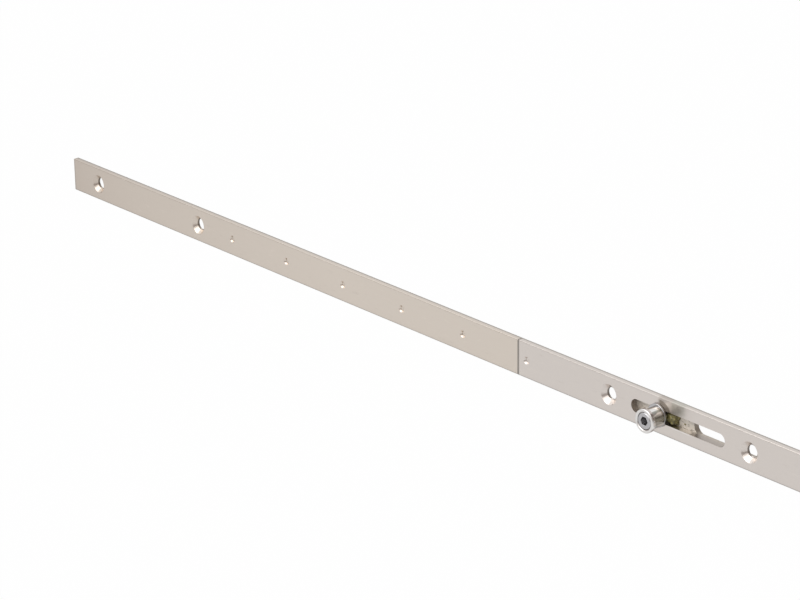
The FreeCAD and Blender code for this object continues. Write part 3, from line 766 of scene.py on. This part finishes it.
def coil_growth():
    """A compression spring along Y whose end turns lie close."""
    made = Growth("wound_spring", Start="Vector", Length="Float", Radius="Float", Wire="Float",
                  Turns="Float")
    start, run, radius, wire, turns = made.given
    helix = made.node("GeometryNodeCurveSpiral", None,
                      {"Resolution": 28, "Rotations": turns, "Start Radius": radius,
                       "End Radius": radius, "Height": 0.0})
    along = made.node("GeometryNodeSplineParameter", output="Factor")
    close = END_TURNS / turns
    open_part = ((along - close) / (1.0 - close * 2.0)).most(0.0).least(1.0)
    ends = along.least(close) + (along - 1.0 + close).most(0.0)
    rise = open_part * (run - wire * (END_TURNS * 2 + 1)) + ends * turns * wire + wire * 0.5
    x, y = made.parts(made.node("GeometryNodeInputPosition"))[:2]
    placed = made.node("GeometryNodeSetPosition", None,
                       {"Geometry": helix, "Position": made.place(x, rise, y), "Offset": start})
    section = made.node("GeometryNodeCurvePrimitiveCircle", {"mode": "RADIUS"},
                        {"Resolution": 10, "Radius": wire * 0.5})
    return made.ending_with(made.swept(placed, section))


def channel_growth():
    """A sheet bent to a channel along X: one side, a round bend, the web, a round bend, one side."""
    made = Growth("bent_channel", Foot="Vector", Length="Float", Half="Float", Height="Float",
                  Sheet="Float", Bend="Float")
    foot, run, half, height, sheet, bend = made.given
    path = made.node("GeometryNodeCurvePrimitiveQuadrilateral", {"mode": "POINTS"},
                     {"Point 1": made.place(z=0.0 - half), "Point 2": made.place(y=height, z=0.0 - half),
                      "Point 3": made.place(y=height, z=half), "Point 4": made.place(z=half)})
    path = made.node("GeometryNodeSetSplineCyclic", None, {0: path, "Cyclic": False})
    path = made.node("GeometryNodeFilletCurve", {"mode": "POLY"},
                     {"Curve": path, "Count": 6, "Radius": bend})
    section = made.node("GeometryNodeCurvePrimitiveQuadrilateral", {"mode": "RECTANGLE"},
                        {"Width": run, "Height": sheet})
    return made.ending_with(made.node("GeometryNodeTransform", None,
                                      {"Geometry": made.swept(path, section), "Translation": foot}))


# Operators: one for each piece or group of like pieces
class LOCK_OT_finishes(bpy.types.Operator):
    """Mixes every finish of the lock"""
    bl_idname = "lock.finishes"
    bl_label = "Finishes"

    def execute(self, context):
        finish = settings("lock_finish")
        for mix in (satin_strip, greased_rod, galvanised_sheet, nickel_plate, sintered_steel, zinc_screw,
                    spring_wire, black_guide, olive_grease):
            mix(finish)
        # The rollers get painted reflections on their sleeves and rims
        turned_steel("turned_roller", finish.turned_tone, gloss=0.10, rings=9000.0, film_and_painted_reflection=finish.sleeve_reflection_tone,
                     rim=finish.rim_reflection_tone)
        turned_steel("turned_pin", finish.pin_tone, gloss=0.32, rings=7000.0)
        return {"FINISHED"}


class LOCK_OT_strips(bpy.types.Operator):
    """Face strips and splice bars with their edges broken"""
    bl_idname = "lock.strips"
    bl_label = "Face strips"

    def execute(self, context):
        add_softened(("faceplate_extension_upper", "faceplate_main", "faceplate_extension_lower"), "satin",
                     "satin_strip", width=settings("lock_edges").strip_edge, wall_shade=wall_shade_rule)
        add_softened(("splice_bar_upper", "splice_bar_lower"), "sheet", "galvanised_sheet")
        return {"FINISHED"}


class LOCK_OT_rods(bpy.types.Operator):
    """Drive rods, the plate between them and its rivets"""
    bl_idname = "lock.rods"
    bl_label = "Drive rods"

    def execute(self, context):
        add_softened(("drive_rod_upper", "drive_rod_lower", "drive_plate"), "zinc", "greased_rod",
                     body="drive", wall_shade=wall_shade_rule)
        dress("zinc_screw", "drive_rivets")
        return {"FINISHED"}


class LOCK_OT_guides(bpy.types.Operator):
    """Sheet channels that hold the rods against the strips"""
    bl_idname = "lock.guides"
    bl_label = "Rod guides"

    def execute(self, context):
        size = settings("lock_guide")
        growth = channel_growth()
        for number in GUIDES:
            node = "rod_guide_%d" % number
            low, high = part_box(node)
            mesh = growth.grow("galvanised_sheet", Foot=((low.x + high.x) / 2, low.y, 0),
                               Length=high.x - low.x, Half=high.z - size.sheet / 2,
                               Height=high.y - low.y - size.sheet / 2, Sheet=size.sheet, Bend=size.bend)
            add_piece(node + "_bent", mesh, "galvanised_sheet", "lock", [node])
        return {"FINISHED"}


class LOCK_OT_rollers(bpy.types.Operator):
    """Flanged roller sleeves, turned"""
    bl_idname = "lock.rollers"
    bl_label = "Rollers"

    def execute(self, context):
        size = settings("lock_roller")
        for number in ROLLERS:
            node = "roller_%d" % number
            centre = middle(node)
            mesh = turned(self.rows(size), centre.x, centre.z, size.steps, closed=True)
            add_piece(node + "_turned", mesh, "turned_roller", node, [node])
        return {"FINISHED"}

    def rows(self, size):
        """Profile of the sleeve, from the foot of the bore up the bore, over the flange and down."""
        back = size.front - size.flange
        small = 0.15 * MM
        round_edge = 0.45 * MM
        rows = [(size.seat, size.bore_radius + small), (size.seat + small, size.bore_radius),
                (size.front - size.recess, size.bore_radius), (size.front - size.recess, size.recess_radius),
                (size.front - small * 2, size.recess_radius), (size.front, size.recess_radius + small * 2)]
        rows += arc(size.front - round_edge, size.flange_radius - round_edge, round_edge, 90, 0)
        rows += arc(back + small * 2, size.flange_radius - small * 2, small * 2, 0, -90)
        rows += [(back, size.body_radius + small * 2), (back - small, size.body_radius + small / 2),
                 (back - small * 2, size.body_radius)]
        rows += [(size.seat + small * 2, size.body_radius), (size.seat, size.body_radius - small * 2)]
        return rows


class LOCK_OT_pins(bpy.types.Operator):
    """Eccentric pins with hexagon sockets, and the washers under the rollers"""
    bl_idname = "lock.pins"
    bl_label = "Eccentric pins"

    def execute(self, context):
        size = settings("lock_pin")
        roller = settings("lock_roller")
        for number in ROLLERS:
            body = "eccentric_%d" % number
            pin = "roller_pin_%d" % number
            washer = "roller_washer_%d" % number
            shank = middle(washer)
            core = middle("roller_%d" % number)
            mesh = joined([turned(self.shank_rows(size), shank.x, shank.z, roller.steps),
                           turned(self.head_rows(size, roller), core.x, core.z, roller.steps)])
            corner = size.key / math.sqrt(3)
            # The faces inside the hexagon socket get painted shade
            add_piece(pin + "_turned", mesh, "turned_pin", body, [pin],
                      wall_shade=lambda face: face.center.y < FACE - roller.front / 2 and corner > math.dist(
                          (face.center.x, face.center.z), (core.x, core.z)))
            mesh = turned(self.washer_rows(size), shank.x, shank.z, roller.steps, closed=True)
            add_piece(washer + "_turned", mesh, "turned_pin", body, [washer])
        return {"FINISHED"}

    def shank_rows(self, size):
        """Shank through washer and rod, with its tail riveted over behind the rod."""
        tail = FACE - ROD_BACK - size.gap
        end = tail - size.tail_height
        dome = 0.3 * MM
        rows = [(end, 0), (end, size.tail_radius * 0.45)]
        rows += arc(end + dome, size.tail_radius - dome, dome, -90, 0)
        rows += [(tail, size.tail_radius), (tail, size.shank_radius)]
        seat = size.gap + size.washer_height
        return rows + [(seat, size.shank_radius), (seat, 0)]

    def head_rows(self, size, roller):
        """Eccentric core and head; the hexagon socket ends in a drilled cone."""
        seat = size.gap + size.washer_height
        under = roller.front - roller.recess + size.gap / 2
        top = roller.front - size.gap
        chamfer = 0.3 * MM
        mouth = 0.12 * MM
        rows = [(seat, 0), (seat, size.core_radius), (under, size.core_radius), (under, size.head_radius),
                (top - chamfer, size.head_radius), (top, size.head_radius - chamfer)]
        rows += [(top, hexagon(size.key + 2 * mouth)), (top - mouth, hexagon(size.key)),
                 (top - size.key_depth, hexagon(size.key)), (top - size.key_depth, size.key / 2),
                 (top - size.key_depth - size.key * 0.3, 0)]
        return rows

    def washer_rows(self, size):
        low = size.gap
        high = size.gap + size.washer_height
        break_edge = 0.12 * MM
        bore = size.shank_radius + size.gap / 2
        return [(low, bore), (high, bore), (high, size.washer_radius - break_edge),
                (high - break_edge, size.washer_radius), (low + break_edge, size.washer_radius),
                (low, size.washer_radius - break_edge)]


class LOCK_OT_grease(bpy.types.Operator):
    """Lumps of grease on the rods beside the eccentric pins"""
    bl_idname = "lock.grease"
    bl_label = "Grease"

    def execute(self, context):
        size = settings("lock_grease")
        for number in ROLLERS:
            first = middle("roller_washer_%d" % number).x + size.reach
            lumps = [self.lump(size, number, first + along * MM, across * MM, long * MM, height * size.height,
                               wide * MM) for along, across, long, height, wide in LUMPS]
            add_piece("grease_%d" % number, joined(lumps), "olive_grease", "drive", smooth=180)
        return {"FINISHED"}

    def lump(self, size, number, x, z, long, tall, wide):
        """A knobbly dome with a flat foot on the front of the rod."""
        shape = bmesh.new()
        bmesh.ops.create_icosphere(shape, subdivisions=4, radius=1.0)
        for point in shape.verts:
            place = Vector((point.co.x * long, point.co.y * tall, point.co.z * wide))
            seen = (place + Vector((x, 0, z))) / size.grain + Vector((number, size.seed, 0))
            place *= 1 + 0.3 * noise.noise(seen) + 0.12 * noise.noise(seen * 2.7)
            point.co = (x + place.x, ROD_FRONT + min(place.y, 0.0), z + place.z)
        mesh = bpy.data.meshes.new("lump")
        shape.to_mesh(mesh)
        shape.free()
        return mesh


class LOCK_OT_rivets(bpy.types.Operator):
    """Rows of splice rivets, each sunk in a small cone in the strip"""
    bl_idname = "lock.rivets"
    bl_label = "Splice rivets"

    def execute(self, context):
        size = settings("lock_rivets")
        growth = row_growth()
        rivet = bpy.data.objects.new("rivet", self.rivet(size))
        for node in ("splice_rivets_upper", "splice_rivets_lower"):
            low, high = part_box(node)
            first = low.x + size.head
            count = round((high.x - low.x - 2 * size.head) / size.step) + 1
            mesh = growth.grow("satin_strip", Shape=rivet, Count=count, Start=(first, 0, 0), Step=size.step)
            add_piece(node + "_set", mesh, "satin_strip", "lock", [node])
        bpy.data.objects.remove(rivet)
        return {"FINISHED"}

    def rivet(self, size):
        """Shank with a sunk, slightly dished end and a low domed head behind the splice bar."""
        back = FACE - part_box("splice_bar_upper")[1].y
        end = back - size.head_height
        dome = 0.6 * MM
        dish = 0.25 * MM
        rows = [(end, 0), (end, size.head * 0.4)]
        rows += arc(end + dome, size.head - dome, dome, -90, 0)
        rows += [(back, size.head), (back, size.shank), (-size.dimple, size.shank),
                 (-size.dimple, size.shank * 0.7), (-size.dimple - dish, 0)]
        return turned(rows, 0, 0, steps=32)


class LOCK_OT_case(bpy.types.Operator):
    """Lock case: tray, cover, blocks, screws, axles and bolt guides"""
    bl_idname = "lock.case"
    bl_label = "Lock case"

    def execute(self, context):
        add_softened(("case_body", "case_cover"), "sheet", "galvanised_sheet")
        dress("sintered_steel", "case_block_upper", "case_block_lower")
        add_softened(("case_cover_screws", "case_fixing_screws", "cylinder_screw"), "zinc", "zinc_screw",
                     width=settings("lock_edges").sheet_edge / 3)
        add_softened(("gear_axle_upper", "gear_axle_lower", "deadbolt_guide_post"), "turned", "zinc_screw")
        add_softened(("latch_guide", "deadbolt_guide"), "moulded", "black_guide")
        return {"FINISHED"}


class LOCK_OT_bolts(bpy.types.Operator):
    """Latch, deadbolt, follower and gears"""
    bl_idname = "lock.bolts"
    bl_label = "Bolts and gears"

    def execute(self, context):
        for node in ("latch", "deadbolt"):
            add_softened([node], "nickel_plate", "nickel_plate", body=node)
        add_softened(["deadbolt_pin"], "zinc_screw", "zinc_screw", body="deadbolt")
        for node in ("follower", "gear_upper", "gear_lower"):
            add_softened([node], "sintered_steel", "sintered_steel", body=node)
        return {"FINISHED"}


class LOCK_OT_spring(bpy.types.Operator):
    """Wound latch spring between the latch and the back of the case"""
    bl_idname = "lock.spring"
    bl_label = "Latch spring"

    def execute(self, context):
        size = settings("lock_spring")
        low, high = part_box("latch_spring")
        centre = middle("latch_spring")
        mesh = coil_growth().grow("spring_wire", Start=(centre.x, low.y, centre.z), Length=high.y - low.y,
                                  Radius=(high.x - low.x) / 2 - size.wire / 2, Wire=size.wire,
                                  Turns=float(size.turns))
        spring = add_piece("latch_spring_wound", mesh, "spring_wire", "lock",
                           ["latch_spring"])
        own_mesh(spring)
        return {"FINISHED"}


class LOCK_OT_stage(bpy.types.Operator):
    """White floor, soft studio light and the camera"""
    bl_idname = "lock.stage"
    bl_label = "Stage"

    def execute(self, context):
        stage = settings("lock_stage")
        scene = context.scene
        self.floor(stage)
        self.room(scene, stage)
        for name, place, target, size, power in LAMPS:
            self.lamp(name, place, target, size, power)
        self.camera(scene, stage)
        scene.view_settings.view_transform = "Standard"
        return {"FINISHED"}

    def floor(self, stage):
        """Reads as white to the eye and in metal, and keeps a trace of the lock's shadow."""
        half = stage.floor_size / 2
        corners = [(-half, -half, FLOOR), (half, -half, FLOOR), (half, half, FLOOR), (-half, half, FLOOR)]
        mesh = bpy.data.meshes.new("floor")
        mesh.from_pydata(corners, [], [(0, 1, 2, 3)])
        floor = linked("floor", mesh)
        made = Finish("white_floor", Roughness=0.9, Base_Color=(0.86, 0.86, 0.86, 1))
        camera, glossy = self.rays(made)
        foot = made.parts(made.here)[1].step(FACE - stage.foot_shade, FACE)
        strength = 1.0 - glossy * (foot * stage.foot_dark).most(1.0 - stage.floor_shine)
        glow = made.node("ShaderNodeEmission", None, {"Color": (1, 1, 1, 1), "Strength": strength})
        matt = Socket(made, made.shader.outputs[0])
        both = made.node("ShaderNodeMixShader", None,
                         {0: camera.most(glossy) * stage.white, 1: matt, 2: glow})
        made.feed(made.tree.nodes["Material Output"], {"Surface": both})
        mesh.materials.append(made.material)

    def rays(self, made):
        """1 for rays from the eye; 1 for those that metal sends on."""
        outputs = made.node("ShaderNodeLightPath").socket.node.outputs
        return [Socket(made, outputs[name]) for name in ("Is Camera Ray", "Is Glossy Ray")]

    def room(self, scene, stage):
        """White to the eye; metal also sees a dark belt low down and a dark side."""
        world = bpy.data.worlds.new("studio")
        scene.world = world
        world.use_nodes = True
        made = Recipe(world.node_tree)
        x, z = made.parts(made.node("ShaderNodeTexCoord", output="Generated"))[::2]
        belt = z.step(0.34, 0.14)
        side = x.step(0.1, 0.35) * z.step(0.9, 0.75)
        camera, glossy = self.rays(made)
        dark = belt.most(side) * glossy * stage.dark
        shade = made.node("ShaderNodeMix", {"data_type": "RGBA"},
                          {0: dark, 6: (1, 1, 1, 1), 7: (*stage.dark_tone, 1)}, output=2)
        strength = stage.room + camera.most(glossy) * (1.0 - stage.room)
        made.feed(world.node_tree.nodes["Background"], {"Color": shade, "Strength": strength})

    def lamp(self, name, place, target, size, power):
        data = bpy.data.lights.new(name, "AREA")
        data.shape = "DISK"
        data.size = size
        data.energy = power
        self.stand(name, data, place, target)

    def camera(self, scene, stage):
        data = bpy.data.cameras.new("eye")
        data.lens = stage.lens
        data.sensor_width = 36.0
        data.clip_end = 100.0
        scene.camera = self.stand("eye", data, stage.eye, stage.aim, stage.roll)

    def stand(self, name, data, place, target, roll=0.0):
        """A lamp or camera at its place, turned towards its target."""
        made = linked(name, data)
        made.location = place
        made.rotation_mode = "QUATERNION"
        sight = (Vector(target) - Vector(place)).to_track_quat("-Z", "Y")
        made.rotation_quaternion = sight @ Quaternion((0, 0, 1), roll)
        return made


OPERATORS = (LOCK_OT_finishes, LOCK_OT_strips, LOCK_OT_rods, LOCK_OT_guides, LOCK_OT_rollers,
             LOCK_OT_pins, LOCK_OT_grease, LOCK_OT_rivets, LOCK_OT_case, LOCK_OT_bolts, LOCK_OT_spring,
             LOCK_OT_stage)


class LOCK_PT_panel(bpy.types.Panel):
    """Lists the steps that dress the lock"""
    bl_idname = "LOCK_PT_panel"
    bl_label = "Door lock"
    bl_space_type = "VIEW_3D"
    bl_region_type = "UI"
    bl_category = "Door lock"

    def draw(self, context):
        for operator in OPERATORS:
            self.layout.operator(operator.bl_idname)
        for name in SETTINGS:
            box = self.layout.box()
            group = getattr(context.scene, name)
            for label in group.__annotations__:
                box.prop(group, label)


def register():
    for group in (*SETTINGS.values(), *OPERATORS, LOCK_PT_panel):
        bpy.utils.register_class(group)
    for name, group in SETTINGS.items():
        setattr(bpy.types.Scene, name, bpy.props.PointerProperty(type=group))


def unregister():
    for name in SETTINGS:
        delattr(bpy.types.Scene, name)
    for group in (LOCK_PT_panel, *reversed(OPERATORS), *SETTINGS.values()):
        bpy.utils.unregister_class(group)


def main():
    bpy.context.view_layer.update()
    register()
    for operator in OPERATORS:
        group, name = operator.bl_idname.split(".")
        getattr(getattr(bpy.ops, group), name)()


if __name__ == "__main__":
    main()
